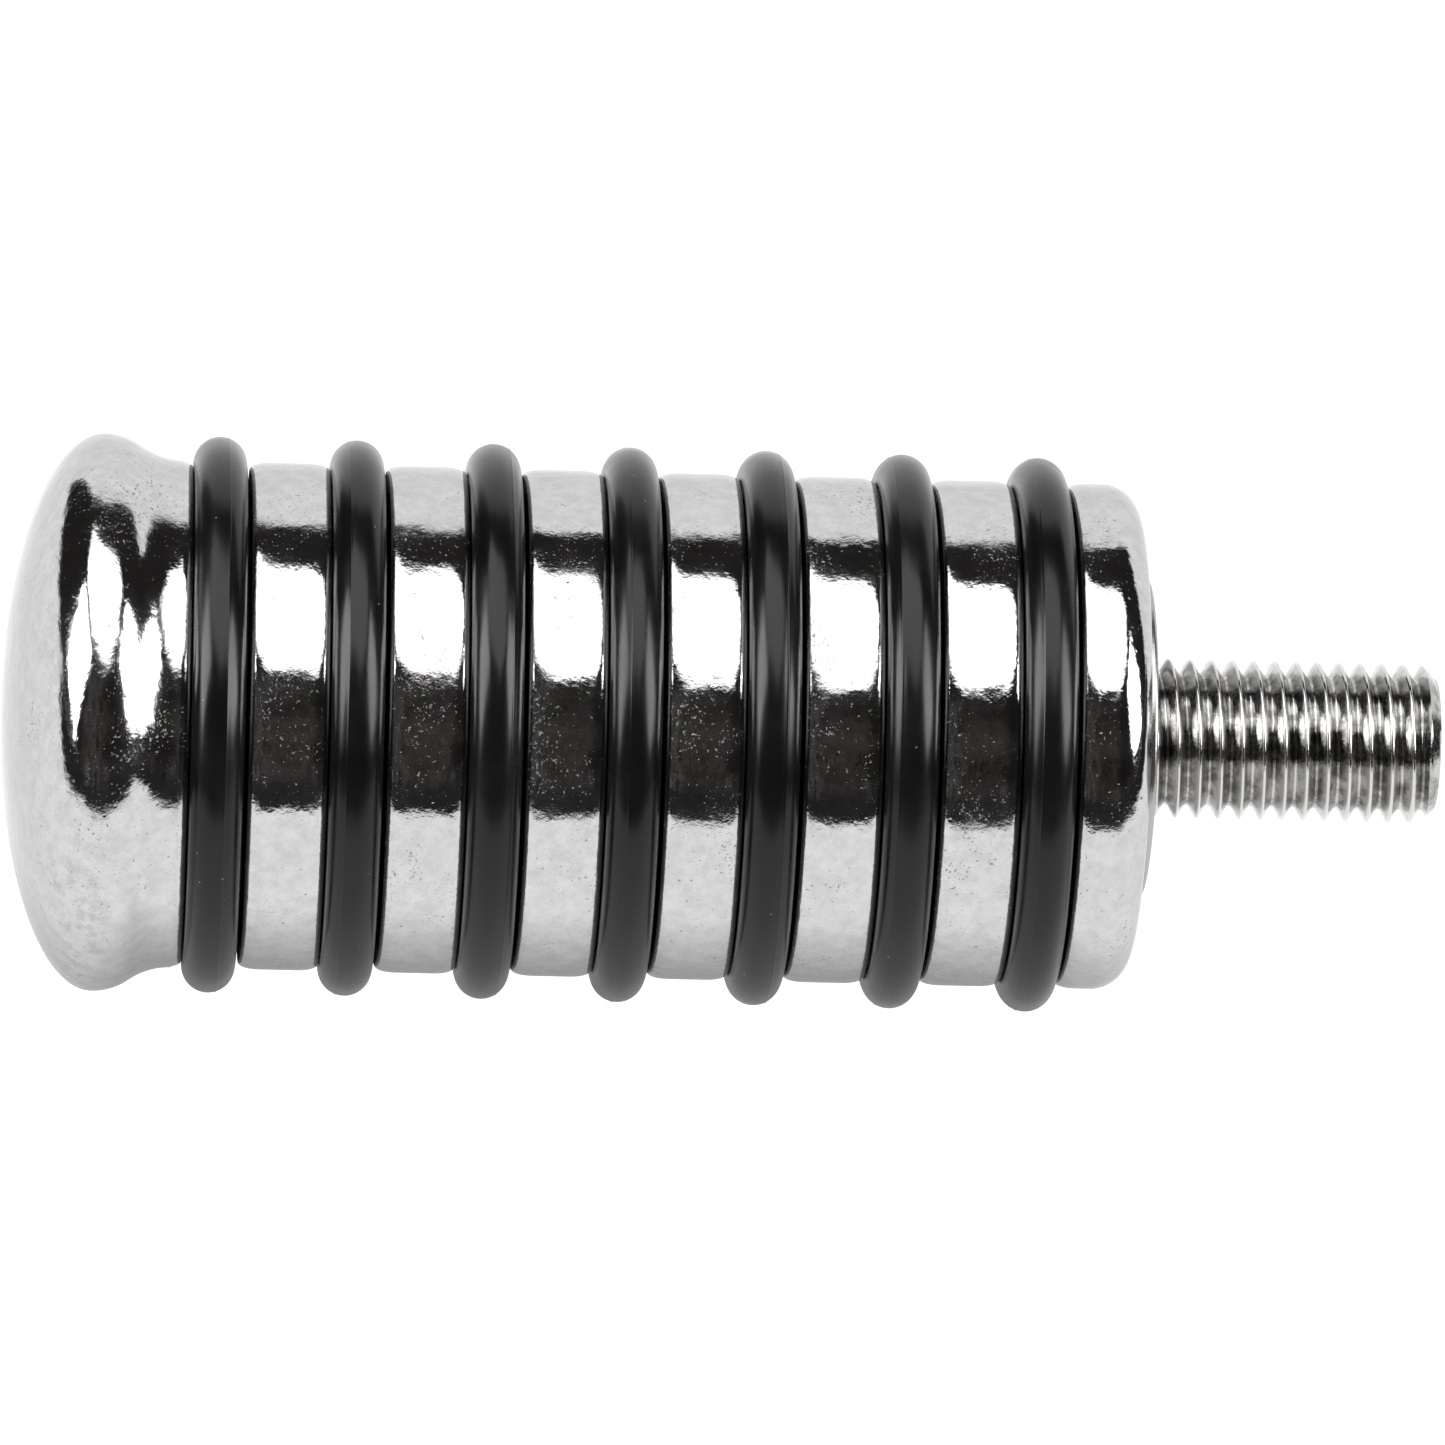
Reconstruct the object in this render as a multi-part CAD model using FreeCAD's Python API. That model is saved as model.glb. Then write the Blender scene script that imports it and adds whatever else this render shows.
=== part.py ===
import FreeCAD, Part
import math
import os

# A motorcycle foot peg: a chrome-plated body with a domed flange, seven O-rings in grooves,
# and a threaded stud that screws into the lever. All lengths are in millimetres.
#
# The peg's axis is X. The origin is the centre of the seat pad, the flat face that bears on
# the lever. The stud points along +X, the domed flange is at the -X end, and Z is up.

INCH = 25.4
X_AXIS = FreeCAD.Vector(1, 0, 0)
Y_AXIS = FreeCAD.Vector(0, 1, 0)
ORIGIN = FreeCAD.Vector(0, 0, 0)

# Turned body
BODY_RADIUS = 12.5
SHOULDER_RADIUS = 1.8
PAD_RADIUS = 8.0
PAD_HEIGHT = 0.6
PAD_EDGE_RADIUS = 0.2

# Domed flange: half an ellipse in front, two arcs behind that run down into the body
FLANGE_RADIUS = 13.74
FLANGE_TIP_X = -56.5
DOME_DEPTH = 4.8
FLANGE_BACK_RADIUS = 3.1
NECK_RADIUS = 3.5

# O-rings, a 0.103 inch section, and their grooves. The rings have been pushed towards the
# domed end, so the gap beside each one is nearly all on its other side.
RING_COUNT = 7
RING_SECTION_RADIUS = 0.103 * INCH / 2
RING_SQUEEZE = 0.02
RING_PITCH = 6.73
FIRST_RING_X = -46.0
RING_SHIFT = 0.07
GROOVE_WIDTH = 2.8
GROOVE_BOTTOM_RADIUS = 11.1
LAND_EDGE_RADIUS = 0.35

# 5/16-24 UNF thread, right-handed
THREAD_PITCH = INCH / 24
THREAD_RADIUS = 3.95
CREST_WIDTH = THREAD_PITCH / 8
THREAD_DEPTH = 0.6134 * THREAD_PITCH
FLANK_SLOPE = math.tan(math.radians(30))
THREAD_START_X = 0.15
CREST_SECTORS = 12
SEAM_SHIFT = 0.4
TURN_PARTS = 3
GROOVE_PROUD = 0.04

# Stud: a one inch socket set screw
STUD_LENGTH = INCH
STUD_OUTSIDE = 14.45
STUD_TIP_CHAMFER = 0.7
BURIED_END_RADIUS = 2.3
BURIED_TAPER = 0.02
CUP_DEPTH = 1.1
CUP_RIM_WIDTH = 0.2
KEY_ACROSS_FLATS = 5 / 32 * INCH
KEY_DEPTH = 4.2
KEY_FLOOR_DEPTH = 1.2
KEY_MOUTH_RADIUS = 2.45
KEY_BEVEL = 0.5

# Tapped hole in the body
THREAD_CLEARANCE = 0.05
TAP_DRILL_RADIUS = 3.455
TAPPED_DEPTH = 12.8
DRILLED_DEPTH = 14.6
HOLE_MOUTH_RADIUS = 4.3
DRILL_POINT_ANGLE = 118

# How far a cutting shape stands out past the surface that it cuts
OVERSHOOT = 1


def at(x, radius):
    """A point of a half section, which is drawn in the plane of X and Y."""
    return FreeCAD.Vector(x, radius, 0)


def line(start, end):
    return Part.makeLine(start, end)


def arc(start, middle, end):
    return Part.Arc(start, middle, end).toShape()


def turned(edges):
    """The solid made by turning a closed half section about X."""
    section = Part.Face(Part.Wire(edges))
    return section.revolve(ORIGIN, X_AXIS, 360)


def turned_from_points(points):
    """A turned solid whose outline is straight lines between (x, radius) points."""
    corners = [at(x, radius) for x, radius in points]
    corners.append(corners[0])
    return turned([line(a, b) for a, b in zip(corners, corners[1:])])


def rounded_corner(before, corner, after, radius):
    """Start, middle and end of the arc that rounds a corner of an outline."""
    to_before = (before - corner).normalize()
    to_after = (after - corner).normalize()
    half_angle = to_before.getAngle(to_after) / 2
    setback = radius / math.tan(half_angle)
    to_centre = (to_before + to_after).normalize()
    middle = corner + to_centre * (radius / math.sin(half_angle) - radius)
    return corner + to_before * setback, middle, corner + to_after * setback


def rounded_path(corners):
    """Edges through (x, radius, rounding) corners. A rounding of 0 leaves a corner sharp."""
    points = [at(x, radius) for x, radius, rounding in corners]
    edges = []
    here = points[0]
    for i in range(1, len(corners)):
        rounding = corners[i][2]
        if rounding:
            start, middle, end = rounded_corner(points[i - 1], points[i], points[i + 1], rounding)
            edges += [line(here, start), arc(start, middle, end)]
            here = end
        else:
            edges.append(line(here, points[i]))
            here = points[i]
    return edges


def ring_x(number):
    return FIRST_RING_X + RING_PITCH * number


def groove_x(number):
    return ring_x(number) + RING_SHIFT


def groove_corners(x):
    """One groove of the outline, with its softly polished land edges."""
    left = x - GROOVE_WIDTH / 2
    right = x + GROOVE_WIDTH / 2
    return [
        (left, BODY_RADIUS, LAND_EDGE_RADIUS),
        (left, GROOVE_BOTTOM_RADIUS, 0),
        (right, GROOVE_BOTTOM_RADIUS, 0),
        (right, BODY_RADIUS, LAND_EDGE_RADIUS),
    ]


def flange_edges():
    """The dome from the axis out to the flange's rim, then the flange's back and the neck.

    The two arcs behind the rim are tangent to each other, to the rim and to the body, so their
    radii fix how far the neck reaches. Returns the edges and the point where the body starts.
    """
    rim_x = FLANGE_TIP_X + DOME_DEPTH
    rim = at(rim_x, FLANGE_RADIUS)
    dome = Part.Ellipse(rim, at(FLANGE_TIP_X, 0), at(rim_x, 0))
    dome_arc = Part.ArcOfEllipse(dome, 0, math.pi / 2).toBSpline().toShape()

    radii = FLANGE_BACK_RADIUS + NECK_RADIUS
    turn = math.acos(1 - (FLANGE_RADIUS - BODY_RADIUS) / radii)
    neck_x = rim_x + radii * math.sin(turn)

    def on_back(angle):
        return at(
            rim_x + FLANGE_BACK_RADIUS * math.sin(angle),
            FLANGE_RADIUS - FLANGE_BACK_RADIUS * (1 - math.cos(angle)),
        )

    def on_neck(angle):
        return at(
            neck_x - NECK_RADIUS * math.sin(angle),
            BODY_RADIUS + NECK_RADIUS * (1 - math.cos(angle)),
        )

    back_arc = arc(rim, on_back(turn / 2), on_back(turn))
    neck_arc = arc(on_back(turn), on_neck(turn / 2), on_neck(0))
    return [dome_arc, back_arc, neck_arc], (neck_x, BODY_RADIUS)


def body_outline():
    edges, (neck_x, neck_radius) = flange_edges()
    corners = [(neck_x, neck_radius, 0)]
    for number in range(RING_COUNT):
        corners += groove_corners(groove_x(number))
    corners += [
        (-PAD_HEIGHT, BODY_RADIUS, SHOULDER_RADIUS),
        (-PAD_HEIGHT, PAD_RADIUS, 0),
        (0, PAD_RADIUS, PAD_EDGE_RADIUS),
        (0, 0, 0),
        (FLANGE_TIP_X, 0, 0),
    ]
    return edges + rounded_path(corners)


def thread_groove(width, depth, radius, start_x, end_x):
    """The helical groove of a right-hand thread, as a row of short solids to cut away.

    width is the groove's width at the crest radius. Every groove begins a whole number of turns
    from THREAD_START_X, so a stud and a hole made with it are in step.
    """
    outer = radius + GROOVE_PROUD
    outer_half = width / 2 + GROOVE_PROUD * FLANK_SLOPE
    floor = radius - depth
    floor_half = width / 2 - depth * FLANK_SLOPE
    outline = [
        FreeCAD.Vector(outer, 0, -outer_half),
        FreeCAD.Vector(outer, 0, outer_half),
        FreeCAD.Vector(floor, 0, floor_half),
        FreeCAD.Vector(floor, 0, -floor_half),
        FreeCAD.Vector(outer, 0, -outer_half),
    ]
    helix = Part.makeHelix(THREAD_PITCH, THREAD_PITCH / TURN_PARTS, radius)
    piece = Part.Wire(helix.Edges).makePipeShell([Part.makePolygon(outline)], True, True)
    piece.rotate(ORIGIN, Y_AXIS, 90)

    pieces = []
    first = TURN_PARTS * (math.floor(start_x / THREAD_PITCH) - 2)
    last = TURN_PARTS * (math.ceil(end_x / THREAD_PITCH) + 1)
    for number in range(first, last):
        turns = number / TURN_PARTS
        placed = piece.copy()
        placed.rotate(ORIGIN, X_AXIS, 360 * turns)
        placed.translate(X_AXIS * (THREAD_START_X + THREAD_PITCH * turns))
        pieces.append(placed)
    return pieces


def cut_each(solid, pieces):
    """Cut the pieces away one at a time, which keeps the joins between them clean."""
    for piece in pieces:
        solid = solid.cut(piece)
    return solid


def cylinder_in_sectors(radius, length):
    """A round bar from x = 0 whose side is a row of equal arcs.

    The arcs are turned a little, so that none begins where two of the groove's solids meet.
    """
    half_sector = math.pi / CREST_SECTORS
    points = []
    for i in range(2 * CREST_SECTORS + 1):
        angle = (i + SEAM_SHIFT) * half_sector
        points.append(FreeCAD.Vector(0, radius * math.cos(angle), radius * math.sin(angle)))
    edges = [arc(*points[i : i + 3]) for i in range(0, 2 * CREST_SECTORS, 2)]
    return Part.Face(Part.Wire(edges)).extrude(X_AXIS * length)


def stud_blank():
    """The stud before threading. The outside half is a plain bar with a chamfered tip.

    The buried half tapers very slightly, and ends in the chamfer and hollow of a cup point.
    """
    tip_envelope = turned_from_points(
        [
            (-OVERSHOOT, 0),
            (-OVERSHOOT, 2 * THREAD_RADIUS),
            (STUD_OUTSIDE - STUD_TIP_CHAMFER - THREAD_RADIUS, 2 * THREAD_RADIUS),
            (STUD_OUTSIDE, THREAD_RADIUS - STUD_TIP_CHAMFER),
            (STUD_OUTSIDE, 0),
        ]
    )
    outside = cylinder_in_sectors(THREAD_RADIUS, STUD_OUTSIDE).common(tip_envelope)

    end_x = STUD_OUTSIDE - STUD_LENGTH
    full_x = end_x + THREAD_RADIUS - BURIED_END_RADIUS
    buried = turned_from_points(
        [
            (end_x + CUP_DEPTH, 0),
            (end_x, BURIED_END_RADIUS - CUP_RIM_WIDTH),
            (end_x, BURIED_END_RADIUS),
            (full_x, THREAD_RADIUS - BURIED_TAPER),
            (0, THREAD_RADIUS),
            (0, 0),
        ]
    )
    return outside.fuse(buried)


def key_socket():
    """The hexagon socket in the stud's outer end, with a drilled floor and a bevelled mouth."""
    corner = KEY_ACROSS_FLATS / math.sqrt(3)
    floor_x = STUD_OUTSIDE - KEY_DEPTH
    points = [
        FreeCAD.Vector(floor_x, corner * math.cos(math.radians(a)), corner * math.sin(math.radians(a)))
        for a in range(0, 361, 60)
    ]
    hexagon = Part.Face(Part.makePolygon(points)).extrude(X_AXIS * (KEY_DEPTH + OVERSHOOT))
    floor_start = at(floor_x - KEY_FLOOR_DEPTH, 0)
    floor_cone = Part.makeCone(0, KEY_ACROSS_FLATS / 2, KEY_FLOOR_DEPTH, floor_start, X_AXIS)
    bevel_start = at(STUD_OUTSIDE - KEY_BEVEL, 0)
    bevel = Part.makeCone(
        KEY_MOUTH_RADIUS - KEY_BEVEL, KEY_MOUTH_RADIUS, KEY_BEVEL, bevel_start, X_AXIS
    )
    return hexagon.fuse([floor_cone, bevel])


def mounting_stud():
    groove = thread_groove(
        THREAD_PITCH - CREST_WIDTH,
        THREAD_DEPTH,
        THREAD_RADIUS,
        STUD_OUTSIDE - STUD_LENGTH,
        STUD_OUTSIDE,
    )
    return cut_each(stud_blank(), groove).cut(key_socket())


def tapped_hole():
    """The blind hole that the stud screws into: drilled, tapped a little large, countersunk."""
    point_length = TAP_DRILL_RADIUS / math.tan(math.radians(DRILL_POINT_ANGLE / 2))
    drilled = turned_from_points(
        [
            (-DRILLED_DEPTH - point_length, 0),
            (-DRILLED_DEPTH, TAP_DRILL_RADIUS),
            (OVERSHOOT, TAP_DRILL_RADIUS),
            (OVERSHOOT, 0),
        ]
    )
    tap_radius = THREAD_RADIUS + THREAD_CLEARANCE
    plug_length = TAPPED_DEPTH + OVERSHOOT
    plug = Part.makeCylinder(tap_radius, plug_length, at(-TAPPED_DEPTH, 0), X_AXIS)
    ridge_width = THREAD_PITCH - CREST_WIDTH - 2 * THREAD_CLEARANCE
    ridge = thread_groove(ridge_width, THREAD_DEPTH, tap_radius, -TAPPED_DEPTH, OVERSHOOT)
    mouth_depth = HOLE_MOUTH_RADIUS - TAP_DRILL_RADIUS
    mouth = Part.makeCone(
        TAP_DRILL_RADIUS,
        HOLE_MOUTH_RADIUS + OVERSHOOT,
        mouth_depth + OVERSHOOT,
        at(-mouth_depth, 0),
        X_AXIS,
    )
    return cut_each(plug, ridge).fuse([drilled, mouth])


def peg_body():
    return turned(body_outline()).cut(tapped_hole())


def o_ring(number):
    """A round ring whose inner side is pressed flat on the groove's bottom."""
    ring_radius = GROOVE_BOTTOM_RADIUS - RING_SQUEEZE + RING_SECTION_RADIUS
    ring = Part.makeTorus(ring_radius, RING_SECTION_RADIUS, at(ring_x(number), 0), X_AXIS)
    bottom = Part.makeCylinder(
        GROOVE_BOTTOM_RADIUS, GROOVE_WIDTH, at(ring_x(number) - GROOVE_WIDTH / 2, 0), X_AXIS
    )
    return ring.cut(bottom)


def write(name, shape):
    solids = shape.Solids
    if len(solids) != 1 or not solids[0].isValid():
        raise ValueError(f"{name} is not one valid solid")
    solids[0].exportStep(os.path.join("parts", name + ".step"))


os.makedirs("parts", exist_ok=True)
write("peg_body", peg_body())
write("mounting_stud", mounting_stud())
for number in range(RING_COUNT):
    write(f"o_ring_{number + 1}", o_ring(number))
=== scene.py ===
import math

import bmesh
import bpy
from mathutils import Matrix, Vector


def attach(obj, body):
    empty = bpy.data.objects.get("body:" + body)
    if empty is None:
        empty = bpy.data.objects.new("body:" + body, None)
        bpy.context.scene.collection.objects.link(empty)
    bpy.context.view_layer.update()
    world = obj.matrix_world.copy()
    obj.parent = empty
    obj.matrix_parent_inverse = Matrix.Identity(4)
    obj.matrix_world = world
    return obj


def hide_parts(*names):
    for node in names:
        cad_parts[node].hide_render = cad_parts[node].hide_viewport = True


# A motorcycle foot peg on a pale studio floor: a chrome body, seven rubber rings and a threaded
# stud. Shapes are worked out in millimetres and turned into metres when a mesh is made. The peg's
# axis is X, with the origin at the centre of the seat pad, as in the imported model.

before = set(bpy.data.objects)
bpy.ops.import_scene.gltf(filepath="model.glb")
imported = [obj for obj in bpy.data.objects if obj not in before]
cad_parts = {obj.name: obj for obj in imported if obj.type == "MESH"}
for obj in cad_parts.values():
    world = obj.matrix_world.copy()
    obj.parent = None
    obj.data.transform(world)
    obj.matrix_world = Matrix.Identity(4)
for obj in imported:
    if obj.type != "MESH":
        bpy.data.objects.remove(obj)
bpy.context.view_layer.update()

MM = 0.001
INCH = 25.4

# Turned body
BODY_RADIUS = 12.5
SHOULDER_RADIUS = 1.8
PAD_RADIUS = 8.0
PAD_HEIGHT = 0.6
PAD_EDGE_RADIUS = 0.2
PAD_FOOT_RADIUS = 0.08
BODY_COLUMNS = 288

# Domed flange and neck
FLANGE_RADIUS = 13.74
FLANGE_TIP_X = -56.5
DOME_DEPTH = 4.8
FLANGE_BACK_RADIUS = 3.1
NECK_RADIUS = 3.5

# Rings and grooves
RING_COUNT = 7
RING_SECTION_RADIUS = 0.103 * INCH / 2
RING_SQUEEZE = 0.02
RING_PITCH = 6.73
FIRST_RING_X = -46.0
RING_SHIFT = 0.07
GROOVE_WIDTH = 2.8
GROOVE_BOTTOM_RADIUS = 11.1
GROOVE_FILLET = 0.12
LAND_EDGE_WIDTH = 1.1
LAND_EDGE_STEPS = 20
LAND_WEAR = 0.09
LAND_CORNER = 0.24
LAND_CORNER_POWER = 3.5
RING_COLUMNS = 288
RING_SECTION_POINTS = 72

# Thread and stud
THREAD_PITCH = INCH / 24
THREAD_RADIUS = 3.95
THREAD_START_X = 0.15
CREST_FLAT = THREAD_PITCH / 10
ROOT_RADIUS = 0.15
THREAD_CLEARANCE = 0.05
STUD_LENGTH = INCH
STUD_OUTSIDE = 14.45
STUD_TIP_CHAMFER = 0.7
BURIED_END_RADIUS = 2.3
CUP_RIM_WIDTH = 0.2
CUP_DEPTH = 1.1
KEY_ACROSS_FLATS = 5 / 32 * INCH
KEY_DEPTH = 4.2
KEY_FLOOR_DEPTH = 1.2
KEY_MOUTH_RADIUS = 2.45
STUD_COLUMNS = 192

# Tapped hole
TAP_DRILL_RADIUS = 3.455
TAPPED_DEPTH = 12.8
DRILLED_DEPTH = 14.6
HOLE_MOUTH_RADIUS = 4.3
DRILL_POINT_ANGLE = 118


# Meshes


def arc_points(centre_x, centre_r, radius_x, radius_r, start, end, steps):
    """Points of an ellipse's arc, as (x, radius). Angles are in degrees from the -X direction."""
    points = []
    for i in range(steps + 1):
        angle = math.radians(start + (end - start) * i / steps)
        x = centre_x - radius_x * math.cos(angle)
        r = centre_r + radius_r * math.sin(angle)
        points.append((x, r))
    return points


def straight(start, end, steps):
    """Points between two (x, radius) points, without the first."""
    return [
        (start[0] + (end[0] - start[0]) * i / steps, start[1] + (end[1] - start[1]) * i / steps)
        for i in range(1, steps + 1)
    ]


def column_angles(columns):
    """Angles round the axis. The last one closes the circle."""
    return [2 * math.pi * i / columns for i in range(columns + 1)]


def turned_rows(outline, columns):
    """Each outline point, turned about X."""
    angles = column_angles(columns)
    return [[(x, r * math.cos(a), r * math.sin(a)) for a in angles] for x, r in outline]


def make_piece(name, rows, sharp_angle):
    """A mesh skinned over rows of points in millimetres. Points in one place are joined."""
    bm = bmesh.new()
    made = [[bm.verts.new(Vector(point) * MM) for point in row] for row in rows]
    for row, next_row in zip(made, made[1:]):
        for i in range(len(row) - 1):
            bm.faces.new((row[i], row[i + 1], next_row[i + 1], next_row[i]))
    bmesh.ops.remove_doubles(bm, verts=bm.verts, dist=1e-8)
    bmesh.ops.recalc_face_normals(bm, faces=bm.faces)
    for face in bm.faces:
        face.smooth = True
    mesh = bpy.data.meshes.new(name)
    bm.to_mesh(mesh)
    bm.free()
    mesh.set_sharp_from_angle(angle=math.radians(sharp_angle))
    piece = bpy.data.objects.new(name, mesh)
    bpy.context.scene.collection.objects.link(piece)
    return piece


# Thread


def thread_profile():
    """One pitch of the stud's thread as (offset from the groove's middle, radius), root to root."""
    crest_offset = (THREAD_PITCH - CREST_FLAT) / 2
    slope = 1 / math.tan(math.radians(30))
    root_end = ROOT_RADIUS * math.cos(math.radians(30))
    flank_start_r = THREAD_RADIUS - (crest_offset - root_end) * slope
    root_centre_r = flank_start_r + ROOT_RADIUS * math.sin(math.radians(30))
    half = []
    for angle in (0, 20, 40, 60):
        a = math.radians(angle)
        half.append((ROOT_RADIUS * math.sin(a), root_centre_r - ROOT_RADIUS * math.cos(a)))
    half.append((crest_offset - 0.2, THREAD_RADIUS - 0.2 * slope))
    half.append((crest_offset - 0.025, THREAD_RADIUS - 0.025 * slope))
    half.append((crest_offset + 0.012, THREAD_RADIUS - 0.006))
    half.append((THREAD_PITCH / 2, THREAD_RADIUS))
    mirrored = [(-s, r) for s, r in reversed(half[1:])]
    return mirrored + half


PROFILE = thread_profile()


def thread_radius(offset):
    """The stud's radius at an offset along the axis from any groove's middle."""
    offset = (offset + THREAD_PITCH / 2) % THREAD_PITCH - THREAD_PITCH / 2
    for (s0, r0), (s1, r1) in zip(PROFILE, PROFILE[1:]):
        if offset <= s1:
            return r0 + (r1 - r0) * (offset - s0) / (s1 - s0)
    return PROFILE[-1][1]


def threaded_rows(start_x, end_x, columns, shape):
    """Rows that follow a right-hand thread from start_x to end_x.

    shape(x, radius) gives the surface's radius from the stud's. Rows that run past an end are
    gathered on it, so both ends are square to the axis.
    """
    first = math.floor(start_x / THREAD_PITCH) - 2
    last = math.ceil(end_x / THREAD_PITCH) + 1
    rows = []
    for turn in range(first, last + 1):
        for offset, _ in PROFILE[:-1]:
            row = []
            for a in column_angles(columns):
                middle = THREAD_START_X + THREAD_PITCH * (turn + a / (2 * math.pi) + 0.25)
                x = min(max(middle + offset, start_x), end_x)
                r = shape(x, thread_radius(x - middle))
                row.append((x, r * math.cos(a), r * math.sin(a)))
            rows.append(row)
    return rows


# The body


def land_edge(edge_x, side):
    """A land's worn edge, from the full radius down to the groove's wall at edge_x.

    side is the direction from the wall into the land.
    """
    points = []
    for i in range(LAND_EDGE_STEPS + 1):
        across = math.sin(math.pi / 2 * i / LAND_EDGE_STEPS)
        worn = LAND_WEAR * across**2
        corner = LAND_CORNER * (1 - math.sqrt(1 - across**LAND_CORNER_POWER))
        points.append((edge_x + side * LAND_EDGE_WIDTH * (1 - across), BODY_RADIUS - worn - corner))
    return points


def groove_outline(x):
    """A ring's groove from the land before it to the land after it. x is the groove's middle.

    Polishing has worn each land down towards its edges, first gently and then in a round corner.
    """
    left = x - GROOVE_WIDTH / 2
    right = x + GROOVE_WIDTH / 2
    bottom = GROOVE_BOTTOM_RADIUS
    points = land_edge(left, -1)
    points += straight(points[-1], (left, bottom + GROOVE_FILLET), 4)
    points += arc_points(
        left + GROOVE_FILLET, bottom + GROOVE_FILLET, GROOVE_FILLET, -GROOVE_FILLET, 10, 90, 4
    )
    points += straight((left + GROOVE_FILLET, bottom), (right - GROOVE_FILLET, bottom), 6)
    points += arc_points(
        right - GROOVE_FILLET, bottom + GROOVE_FILLET, -GROOVE_FILLET, -GROOVE_FILLET, 80, 0, 4
    )
    edge = land_edge(right, 1)
    edge.reverse()
    points += straight(points[-1], edge[0], 4)
    points += edge[1:]
    return points


def outer_outline():
    """The body's outside, from the dome's middle to the pad's flat face."""
    rim_x = FLANGE_TIP_X + DOME_DEPTH
    points = arc_points(rim_x, 0, DOME_DEPTH, FLANGE_RADIUS, 0, 90, 72)

    radii = FLANGE_BACK_RADIUS + NECK_RADIUS
    turn = math.acos(1 - (FLANGE_RADIUS - BODY_RADIUS) / radii)
    neck_x = rim_x + radii * math.sin(turn)
    turn = math.degrees(turn)
    back_r = FLANGE_RADIUS - FLANGE_BACK_RADIUS
    back = arc_points(rim_x, back_r, FLANGE_BACK_RADIUS, FLANGE_BACK_RADIUS, 90, 90 + turn, 24)
    neck_r = BODY_RADIUS + NECK_RADIUS
    neck = arc_points(neck_x, neck_r, NECK_RADIUS, -NECK_RADIUS, 90 - turn, 90, 24)
    points += back[1:] + neck[1:]

    for number in range(RING_COUNT):
        groove = groove_outline(FIRST_RING_X + RING_PITCH * number + RING_SHIFT)
        points += straight(points[-1], groove[0], 6)
        points += groove[1:]

    shoulder_x = -PAD_HEIGHT - SHOULDER_RADIUS
    shoulder_r = BODY_RADIUS - SHOULDER_RADIUS
    shoulder = arc_points(shoulder_x, shoulder_r, SHOULDER_RADIUS, SHOULDER_RADIUS, 90, 180, 32)
    points += straight(points[-1], shoulder[0], 6)
    points += shoulder[1:]
    foot = PAD_FOOT_RADIUS
    points += straight(points[-1], (-PAD_HEIGHT, PAD_RADIUS + foot), 4)
    points += arc_points(-PAD_HEIGHT + foot, PAD_RADIUS + foot, foot, -foot, 30, 90, 3)
    edge_x = -PAD_EDGE_RADIUS
    edge_r = PAD_RADIUS - PAD_EDGE_RADIUS
    points += straight(points[-1], (edge_x, PAD_RADIUS), 2)
    points += arc_points(edge_x, edge_r, PAD_EDGE_RADIUS, PAD_EDGE_RADIUS, 100, 180, 8)
    return points


def hole_shape(x, thread):
    """The tapped hole's radius where the stud's is thread: cleared, drilled and countersunk."""
    return max(TAP_DRILL_RADIUS, thread + THREAD_CLEARANCE, HOLE_MOUTH_RADIUS + x)


def peg_body():
    outline = outer_outline()
    outline += straight(outline[-1], (0, HOLE_MOUTH_RADIUS), 12)
    rows = turned_rows(outline, BODY_COLUMNS)
    rows += reversed(threaded_rows(-TAPPED_DEPTH, 0, BODY_COLUMNS, hole_shape))
    point_length = TAP_DRILL_RADIUS / math.tan(math.radians(DRILL_POINT_ANGLE / 2))
    drilled = [
        (-TAPPED_DEPTH, TAP_DRILL_RADIUS),
        (-DRILLED_DEPTH, TAP_DRILL_RADIUS),
        (-DRILLED_DEPTH - point_length, 0),
    ]
    rows += turned_rows(drilled, BODY_COLUMNS)
    return make_piece("chrome_body", rows, 35)


# The stud


def stud_shape(x, thread):
    """The thread cut back to the tip's chamfer and to the buried end's longer chamfer."""
    tip = THREAD_RADIUS - STUD_TIP_CHAMFER + STUD_OUTSIDE - x
    buried = BURIED_END_RADIUS + x - (STUD_OUTSIDE - STUD_LENGTH)
    return min(thread, tip, buried)


def key_radius(angle):
    """The hexagon socket's radius at an angle. Corners point at 0, 60, 120 degrees and so on."""
    from_flat = angle % math.radians(60) - math.radians(30)
    return KEY_ACROSS_FLATS / 2 / math.cos(from_flat)


def key_rows():
    """The stud's end face, the bevelled mouth, the hexagon's walls and the drilled floor."""
    angles = column_angles(STUD_COLUMNS)
    mouth = []
    top = []
    bottom = []
    floor_x = STUD_OUTSIDE - KEY_DEPTH
    for a in angles:
        r = key_radius(a)
        y = math.cos(a)
        z = math.sin(a)
        mouth.append((STUD_OUTSIDE, KEY_MOUTH_RADIUS * y, KEY_MOUTH_RADIUS * z))
        top.append((STUD_OUTSIDE - KEY_MOUTH_RADIUS + r, r * y, r * z))
        bottom.append((floor_x, r * y, r * z))
    drilled = [(floor_x, KEY_ACROSS_FLATS / 2), (floor_x - KEY_FLOOR_DEPTH, 0)]
    return [mouth, top, bottom] + turned_rows(drilled, STUD_COLUMNS)


def mounting_stud():
    end_x = STUD_OUTSIDE - STUD_LENGTH
    cup_radius = BURIED_END_RADIUS - CUP_RIM_WIDTH
    cup = [(end_x + CUP_DEPTH, 0), (end_x, cup_radius), (end_x, BURIED_END_RADIUS)]
    rows = turned_rows(cup, STUD_COLUMNS)
    rows += threaded_rows(end_x, STUD_OUTSIDE, STUD_COLUMNS, stud_shape)
    rows += key_rows()
    return make_piece("threaded_stud", rows, 50)


# The rings

# Where each ring's mould line has rolled to, in degrees from its outermost line
LINE_ROLLS = (17, -21, 34, -12, 26, -30, -19)
LINE_HEIGHT = 0.022
LINE_HALF_WIDTH = 2.2


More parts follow.
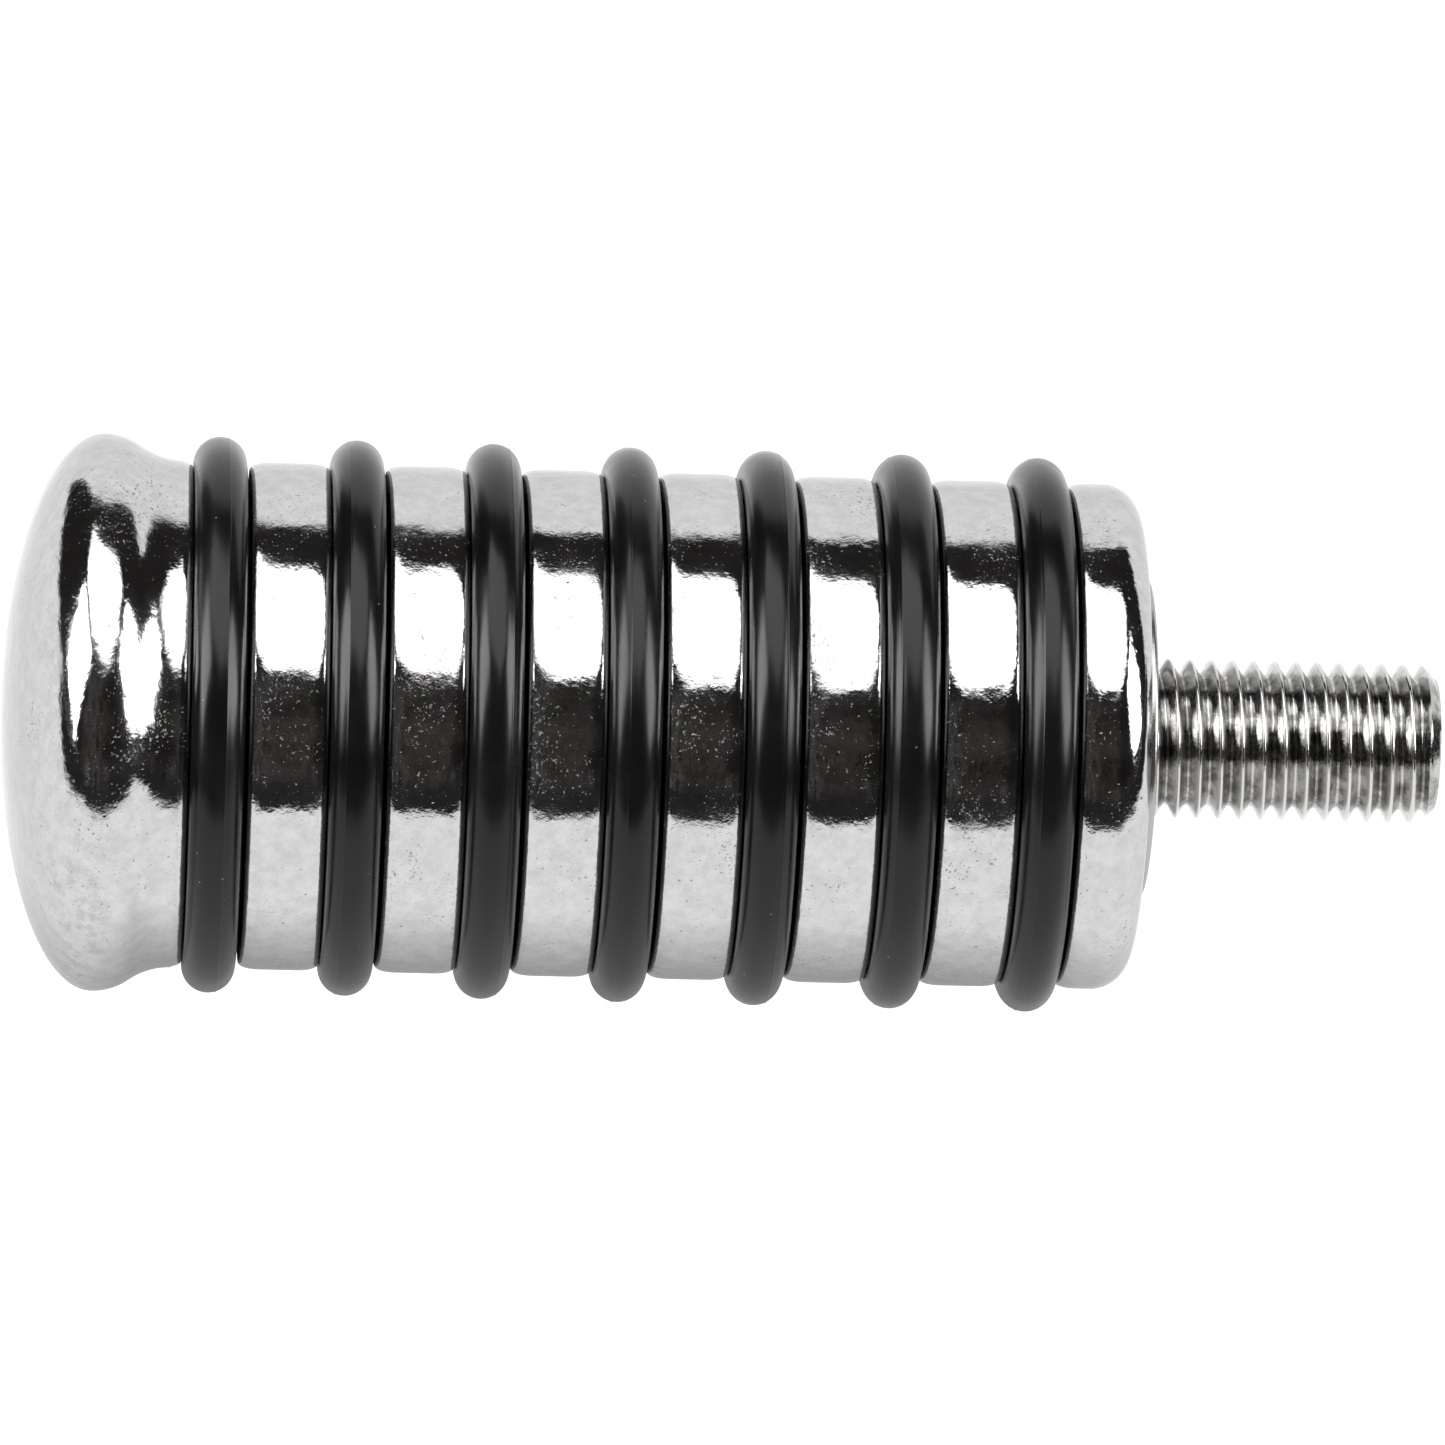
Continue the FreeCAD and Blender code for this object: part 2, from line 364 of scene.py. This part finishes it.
def ring_section_radius(angle, roll):
    """The ring's section radius, with the thin ridge that the mould's halves leave on it."""
    from_line = (angle - roll + 180) % 360 - 180
    return RING_SECTION_RADIUS + LINE_HEIGHT * math.exp(-((from_line / LINE_HALF_WIDTH) ** 2))


def o_ring(number):
    """A round ring pressed flat on its groove's bottom. Section angles are from the outside."""
    centre_x = FIRST_RING_X + RING_PITCH * number
    centre_r = GROOVE_BOTTOM_RADIUS - RING_SQUEEZE + RING_SECTION_RADIUS
    roll = LINE_ROLLS[number]
    section_angles = [i * 360 / RING_SECTION_POINTS for i in range(RING_SECTION_POINTS + 1)]
    section_angles += [roll + step * LINE_HALF_WIDTH for step in (-1.6, -0.8, 0, 0.8, 1.6)]
    section_angles = sorted((a + 180) % 360 for a in section_angles[1:])
    outline = []
    for angle in section_angles:
        section = ring_section_radius(angle - 180, roll)
        a = math.radians(angle - 180)
        r = max(centre_r + section * math.cos(a), GROOVE_BOTTOM_RADIUS)
        outline.append((centre_x + section * math.sin(a), r))
    outline.append(outline[0])
    return make_piece(f"rubber_ring_{number + 1}", turned_rows(outline, RING_COLUMNS), 60)


# Materials

# Painted shade darkens the grooves to near black: below these radii, and between the neck and the
# shoulder
GROOVE_SHADE_RADIUS = 12.0
UNSHADED_RADIUS = 12.33
GROOVES_START_X = -47.8
GROOVES_END_X = -3.0


class Nodes:
    """A short way to build a material's nodes."""

    def __init__(self, name):
        self.material = bpy.data.materials.new(name)
        self.material.use_nodes = True
        self.tree = self.material.node_tree
        self.tree.nodes.clear()

    def add(self, kind, inputs, **settings):
        node = self.tree.nodes.new(kind)
        for key, value in settings.items():
            setattr(node, key, value)
        for socket, value in inputs.items():
            if isinstance(value, bpy.types.NodeSocket):
                self.tree.links.new(value, node.inputs[socket])
            else:
                node.inputs[socket].default_value = value
        return node

    def place(self):
        return self.add("ShaderNodeTexCoord", {}).outputs["Object"]

    def math(self, operation, a, b=0.0):
        return self.add("ShaderNodeMath", {0: a, 1: b}, operation=operation).outputs[0]

    def noise(self, place, size, detail=2.0, roughness=0.5, distortion=0.0):
        """Smooth noise from 0 to 1, whose blobs are about size millimetres across."""
        inputs = {
            "Vector": place,
            "Scale": 1 / (size * MM),
            "Detail": detail,
            "Roughness": roughness,
            "Distortion": distortion,
        }
        return self.add("ShaderNodeTexNoise", inputs).outputs["Fac"]

    def spots(self, place, size, radius):
        """1 in the middle of round spots, one in each cell, falling to 0 at radius cells away."""
        inputs = {"Vector": place, "Scale": 1 / (size * MM), "Randomness": 1.0}
        cells = self.add("ShaderNodeTexVoronoi", inputs)
        near = self.ramp(cells.outputs["Distance"], radius, 0.0)
        return near, cells.outputs["Color"]

    def ramp(self, value, low, high, smooth=True):
        """0 at low, 1 at high, and held beyond them."""
        kind = "SMOOTHSTEP" if smooth else "LINEAR"
        inputs = {"Value": value}
        if low < high:
            inputs.update({"From Min": low, "From Max": high, "To Min": 0.0, "To Max": 1.0})
        else:
            inputs.update({"From Min": high, "From Max": low, "To Min": 1.0, "To Max": 0.0})
        return self.add("ShaderNodeMapRange", inputs, interpolation_type=kind).outputs["Result"]

    def between(self, value, low, high):
        """value from 0 to 1 turned into low to high."""
        inputs = {"Value": value, "To Min": low, "To Max": high}
        return self.add("ShaderNodeMapRange", inputs).outputs["Result"]

    def blend(self, factor, a, b):
        """Colour a where factor is 0, and b where it is 1."""
        node = self.add("ShaderNodeMix", {}, data_type="RGBA")
        self.tree.links.new(factor, node.inputs[0])
        for socket, value in ((6, a), (7, b)):
            if isinstance(value, bpy.types.NodeSocket):
                self.tree.links.new(value, node.inputs[socket])
            else:
                node.inputs[socket].default_value = (*value, 1)
        return node.outputs[2]

    def bump(self, height, depth, before=None):
        """A bump where height's 0 to 1 is depth millimetres."""
        inputs = {"Height": height, "Distance": depth * MM, "Strength": 1.0}
        if before is not None:
            inputs["Normal"] = before
        return self.add("ShaderNodeBump", inputs).outputs["Normal"]

    def finish(self, **inputs):
        sockets = {key.replace("_", " "): value for key, value in inputs.items()}
        shader = self.add("ShaderNodeBsdfPrincipled", sockets)
        output = self.add("ShaderNodeOutputMaterial", {"Surface": shader.outputs[0]})
        output.is_active_output = True
        return self.material


def chrome():
    """Old show chrome: bright, a little wavy from hand polishing, with pits, and painted shade in the
    grooves.
    """
    n = Nodes("chrome")
    place = n.place()
    split = n.add("ShaderNodeSeparateXYZ", {"Vector": place})
    x, y, z = (split.outputs[i] for i in range(3))
    from_axis = n.math("SQRT", n.math("ADD", n.math("MULTIPLY", y, y), n.math("MULTIPLY", z, z)))
    on_land = n.ramp(from_axis, GROOVE_SHADE_RADIUS * MM, UNSHADED_RADIUS * MM)
    on_pad = n.ramp(x, (-PAD_HEIGHT - 0.01) * MM, (-PAD_HEIGHT + 0.02) * MM)
    behind_dome = n.ramp(x, -54.4 * MM, -53.2 * MM)
    before_neck = n.ramp(x, -50.6 * MM, -51.6 * MM)
    on_rim = n.math("MULTIPLY", behind_dome, before_neck)
    on_rim = n.math("MULTIPLY", on_rim, n.ramp(z, 2.0 * MM, -3.0 * MM))

    waves = n.noise(place, 1.7, detail=1.0)
    peel = n.noise(place, 0.4, detail=3.0, roughness=0.6)
    grain = n.noise(place, 0.11, detail=3.0, roughness=0.6)
    squeezed = n.add("ShaderNodeVectorMath", {0: place, 1: (12, 1, 1)}, operation="MULTIPLY")
    streaks = n.noise(squeezed.outputs[0], 1.6, detail=3.0, roughness=0.6)
    patches = n.noise(place, 4.0, detail=5.0, roughness=0.7)
    clouds = n.noise(place, 0.9, detail=5.0, roughness=0.75)
    specks = n.noise(place, 0.15, detail=3.0, roughness=0.6)
    pit = n.ramp(n.math("ADD", specks, n.math("MULTIPLY", patches, 0.5)), 0.92, 0.98)
    large_pit, large_colour = n.spots(place, 1.1, 0.1)
    large_chosen = n.ramp(n.math("ADD", large_colour, patches), 1.1, 1.15)
    pit = n.math("MAXIMUM", pit, n.math("MULTIPLY", large_pit, large_chosen))

    normal = n.bump(waves, 0.034)
    normal = n.bump(peel, 0.011, normal)
    normal = n.bump(grain, 0.0022, normal)
    normal = n.bump(streaks, 0.0022, normal)
    normal = n.bump(n.math("SUBTRACT", 1.0, pit), 0.008, normal)

    stain = n.math("MULTIPLY", on_rim, n.ramp(clouds, 0.48, 0.66))
    colour = n.blend(n.ramp(clouds, 0.3, 0.7), (0.6, 0.598, 0.602), (0.5, 0.495, 0.492))
    colour = n.blend(n.math("MULTIPLY", stain, 0.3), colour, (0.3, 0.295, 0.285))
    colour = n.blend(n.math("MULTIPLY", pit, 0.8), colour, (0.1, 0.095, 0.09))
    # Painted shade: the groove walls and bottoms below the lands are painted near black, between the
    # neck and the shoulder
    groove_shade = n.math("SUBTRACT", 1.0, on_land)
    past_neck = n.ramp(x, (GROOVES_START_X - 0.1) * MM, GROOVES_START_X * MM)
    before_shoulder = n.ramp(x, (GROOVES_END_X + 0.1) * MM, GROOVES_END_X * MM)
    groove_shade = n.math("MULTIPLY", groove_shade, n.math("MULTIPLY", past_neck, before_shoulder))
    colour = n.blend(groove_shade, colour, (0.02, 0.019, 0.018))
    colour = n.blend(on_pad, colour, (0.42, 0.415, 0.41))
    roughness = n.between(n.ramp(patches, 0.35, 0.7), 0.06, 0.14)
    roughness = n.math("MAXIMUM", roughness, n.math("MULTIPLY", stain, 0.2))
    roughness = n.math("MAXIMUM", roughness, n.math("MULTIPLY", on_pad, 0.26))
    roughness = n.math("MAXIMUM", roughness, n.math("MULTIPLY", groove_shade, 0.5))
    return n.finish(
        Base_Color=colour,
        Metallic=1.0,
        Roughness=roughness,
        Specular_Tint=(0.8, 0.8, 0.8, 1.0),
        Normal=normal,
    )


def rubber():
    """Satin black rubber with a fine grain and a few grains of dust."""
    n = Nodes("rubber")
    place = n.place()
    grain = n.noise(place, 0.12, detail=3.0)
    patches = n.noise(place, 3.0, detail=3.0)
    dust, dust_colour = n.spots(place, 1.1, 0.07)
    dust = n.math("MULTIPLY", dust, n.ramp(dust_colour, 0.6, 0.64))
    colour = n.blend(patches, (0.003, 0.003, 0.003), (0.0075, 0.0072, 0.007))
    colour = n.blend(dust, colour, (0.22, 0.22, 0.21))
    roughness = n.between(n.ramp(patches, 0.3, 0.7), 0.19, 0.28)
    normal = n.bump(grain, 0.0024)
    return n.finish(Base_Color=colour, Roughness=roughness, IOR=1.36, Normal=normal)


def steel():
    """Bright cut steel with fine marks from the thread cutter, darker in patches towards the thread
    roots.
    """
    n = Nodes("steel")
    place = n.place()
    split = n.add("ShaderNodeSeparateXYZ", {"Vector": place})
    y, z = split.outputs[1], split.outputs[2]
    from_axis = n.math("SQRT", n.math("ADD", n.math("MULTIPLY", y, y), n.math("MULTIPLY", z, z)))
    marks = n.noise(place, 0.22, detail=4.0, roughness=0.6)
    patches = n.noise(place, 1.2, detail=4.0, roughness=0.65)
    crest = n.ramp(from_axis, (THREAD_RADIUS - 0.15) * MM, (THREAD_RADIUS - 0.02) * MM)
    low = n.ramp(from_axis, (THREAD_RADIUS - 0.2) * MM, (THREAD_RADIUS - 0.55) * MM)
    # Darker in patches towards the thread roots
    root_darkening = n.math("MULTIPLY", low, n.ramp(patches, 0.42, 0.62))
    colour = n.blend(n.ramp(patches, 0.35, 0.7), (0.52, 0.515, 0.505), (0.34, 0.334, 0.325))
    colour = n.blend(n.math("MULTIPLY", root_darkening, 0.55), colour, (0.05, 0.047, 0.044))
    colour = n.blend(crest, colour, (0.62, 0.615, 0.605))
    roughness = n.between(n.ramp(marks, 0.3, 0.7), 0.08, 0.24)
    normal = n.bump(marks, 0.008)
    return n.finish(Base_Color=colour, Metallic=1.0, Roughness=roughness, Normal=normal)


def make_model():
    finishes = {"plated_body": chrome(), "ring_rubber": rubber(), "stud_steel": steel()}
    made = [(peg_body(), "peg_body", "plated_body"), (mounting_stud(), "mounting_stud", "stud_steel")]
    for number in range(RING_COUNT):
        made.append((o_ring(number), f"o_ring_{number + 1}", "ring_rubber"))
    for piece, node, slot in made:
        piece.data.materials.append(finishes[slot])
        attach(piece, "root")
        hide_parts(node)


# The studio, in metres

FLOOR_Z = -FLANGE_RADIUS * MM
FLOOR_SIZE = 6.0
OVERHEAD_Z = 1.0
SIDE_X = 1.0
WHITE_WALL_Y = 0.6
ROOM_WALL_Y = -1.5
TABLE_RISE = 0.0004
FAR = 3


def emission(name, strength):
    n = Nodes(name)
    shader = n.add("ShaderNodeEmission", {"Strength": strength})
    n.add("ShaderNodeOutputMaterial", {"Surface": shader.outputs[0]})
    return n.material


def room():
    """The dim room in front of the peg: nearly black, with brown-grey shapes towards the left."""
    n = Nodes("room")
    place = n.place()
    split = n.add("ShaderNodeSeparateXYZ", {"Vector": place})
    x, z = split.outputs[0], split.outputs[2]
    shapes = n.ramp(n.noise(place, 160, detail=6.0, roughness=0.75, distortion=1.5), 0.46, 0.68)
    on_left = n.math("MULTIPLY", n.ramp(x, -2.6, -1.2), n.ramp(x, 0.6, -0.6))
    shelf = n.math("MULTIPLY", n.ramp(z, 0.45, 0.6), n.ramp(z, 1.0, 0.8))
    table = n.math("MULTIPLY", n.ramp(z, -0.1, 0.0), n.ramp(z, 0.25, 0.1))
    lit = n.math("ADD", n.math("MULTIPLY", on_left, 0.27), n.math("MULTIPLY", shelf, 0.06))
    lit = n.math("ADD", lit, n.math("MULTIPLY", table, 0.1))
    lit = n.math("ADD", n.math("MULTIPLY", lit, shapes), 0.013)
    glow = {"Color": (1.0, 0.93, 0.88, 1.0), "Strength": lit}
    shader = n.add("ShaderNodeEmission", glow)
    n.add("ShaderNodeOutputMaterial", {"Surface": shader.outputs[0]})
    return n.material


def stage_mesh(name, corners, material):
    """A flat staged polygon. corners go round it, in metres."""
    mesh = bpy.data.meshes.new(name)
    mesh.from_pydata(corners, [], [tuple(range(len(corners)))])
    mesh.materials.append(material)
    made = bpy.data.objects.new(name, mesh)
    bpy.context.scene.collection.objects.link(made)
    return made


def card(name, corners, material):
    """A card that only the gloss on the object sees."""
    made = stage_mesh(name, corners, material)
    made.visible_camera = False
    made.visible_diffuse = False
    made.visible_shadow = False


def level_card(name, outline, height, material):
    card(name, [(x, y, height) for x, y in outline], material)


def studio_cards():
    overhead = [
        (-0.92, 0.0),
        (-0.73, -0.5),
        (-0.35, -0.68),
        (0.0, -0.84),
        (0.22, -0.84),
        (0.56, -0.5),
        (0.52, -0.05),
        (0.42, 0.06),
        (0.28, 0.15),
        (0.09, 0.18),
        (-0.1, 0.21),
        (-0.26, 0.28),
        (-0.57, 0.5),
        (-0.88, 0.3),
    ]
    level_card("overhead_light", overhead, OVERHEAD_Z, emission("soft_light", 2.8))
    side_light = emission("side_light", 8.5)
    left = [(0.16, 0.87), (0.13, 0.14), (-0.3, 0.05), (-0.8, 1.12)]
    card("left_light", [(-SIDE_X, y, z) for y, z in left], side_light)
    right = [(-0.05, 0.1), (-0.55, 0.16), (-0.8, 0.42), (-0.95, 1.3), (-0.17, 1.3)]
    card("right_light", [(SIDE_X, y, z) for y, z in right], side_light)

    wall = [
        (-0.4, FLOOR_Z),
        (-0.4, 0.6),
        (-0.1, 0.82),
        (0.1, 0.82),
        (0.45, 0.56),
        (0.9, 0.7),
        (1.5, 0.5),
        (1.5, FLOOR_Z),
    ]
    card("white_wall", [(x, WHITE_WALL_Y, z) for x, z in wall], emission("backdrop", 1.15))
    room_outline = [(-FAR, -0.2), (FAR, -0.2), (FAR, 1.6), (-FAR, 1.6)]
    card("room_wall", [(x, ROOM_WALL_Y, z) for x, z in room_outline], room())

    # The white paper under the peg is small. Past its edges the gloss sees a dark table.
    black = emission("black", 0.02)
    table_z = FLOOR_Z + TABLE_RISE
    front = [(-FAR, -FAR), (FAR, -FAR), (FAR, -0.085), (-0.1, -0.078), (-FAR, -0.078)]
    level_card("front_table", front, table_z, black)
    left = [(-FAR, -0.078), (-0.115, -0.078), (-0.122, -0.013), (-0.267, 0.038), (-FAR, 0.9)]
    level_card("left_table", left, table_z, black)
    right = [(FAR, -0.085), (FAR, 1.6), (0.12, 0.05), (0.078, 0.0), (0.06, -0.08)]
    level_card("right_table", right, table_z, black)


def studio_floor():
    """A pale glowing floor. Its contact shadow shows only in what the peg reflects."""
    n = Nodes("floor")
    shade = n.add("ShaderNodeAmbientOcclusion", {"Distance": 0.008}, samples=8)
    reflected = n.between(shade.outputs["AO"], 0.42, 1.21)
    path = n.add("ShaderNodeLightPath", {})
    glow = n.math("MAXIMUM", reflected, n.math("MULTIPLY", path.outputs["Is Camera Ray"], 1.2))
    shader = n.add("ShaderNodeEmission", {"Strength": glow})
    n.add("ShaderNodeOutputMaterial", {"Surface": shader.outputs[0]})
    outline = [(-1, -1), (1, -1), (1, 1), (-1, 1)]
    corners = [(x * FLOOR_SIZE, y * FLOOR_SIZE, FLOOR_Z) for x, y in outline]
    stage_mesh("floor", corners, n.material)


def studio_world():
    """White all round for the eye and the floor. Gloss sees a dark room."""
    world = bpy.data.worlds.new("room")
    world.use_nodes = True
    tree = world.node_tree
    tree.nodes.clear()
    path = tree.nodes.new("ShaderNodeLightPath")
    white = tree.nodes.new("ShaderNodeBackground")
    white.inputs["Color"].default_value = (1, 1, 1, 1)
    dark = tree.nodes.new("ShaderNodeBackground")
    dark.inputs["Color"].default_value = (0.02, 0.019, 0.018, 1)
    mix = tree.nodes.new("ShaderNodeMixShader")
    output = tree.nodes.new("ShaderNodeOutputWorld")
    tree.links.new(path.outputs["Is Glossy Ray"], mix.inputs[0])
    tree.links.new(white.outputs[0], mix.inputs[1])
    tree.links.new(dark.outputs[0], mix.inputs[2])
    tree.links.new(mix.outputs[0], output.inputs["Surface"])
    world.cycles.sampling_method = "NONE"
    bpy.context.scene.world = world


# The camera: a long lens, nearly square to the peg's axis, and turned a little about its own axis

CAMERA_AZIMUTH = -3.908
CAMERA_ELEVATION = 30.0
CAMERA_ROLL = 3.366
CAMERA_DISTANCE = 0.6141
CAMERA_LENS = 309.7
AIM_POINT = (-0.0215, 0.0, 0.0)
AIM_RIGHT = 0.000615
AIM_UP = 0.000218


def camera():
    a = math.radians(CAMERA_AZIMUTH)
    e = math.radians(CAMERA_ELEVATION)
    roll = math.radians(CAMERA_ROLL)
    back = Vector((math.sin(a) * math.cos(e), -math.cos(a) * math.cos(e), math.sin(e)))
    level = Vector((math.cos(a), math.sin(a), 0))
    upright = back.cross(level)
    right = level * math.cos(roll) + upright * math.sin(roll)
    up = upright * math.cos(roll) - level * math.sin(roll)
    aim = Vector(AIM_POINT) + right * AIM_RIGHT + up * AIM_UP

    data = bpy.data.cameras.new("camera")
    data.lens = CAMERA_LENS
    data.sensor_width = 36.0
    data.clip_start = 0.01
    data.clip_end = 20.0
    made = bpy.data.objects.new("camera", data)
    axes = Matrix((right, up, back)).transposed()
    made.matrix_world = Matrix.Translation(aim + back * CAMERA_DISTANCE) @ axes.to_4x4()
    bpy.context.scene.collection.objects.link(made)
    bpy.context.scene.camera = made


make_model()
studio_floor()
studio_cards()
studio_world()
camera()
bpy.context.scene.view_settings.view_transform = "Standard"
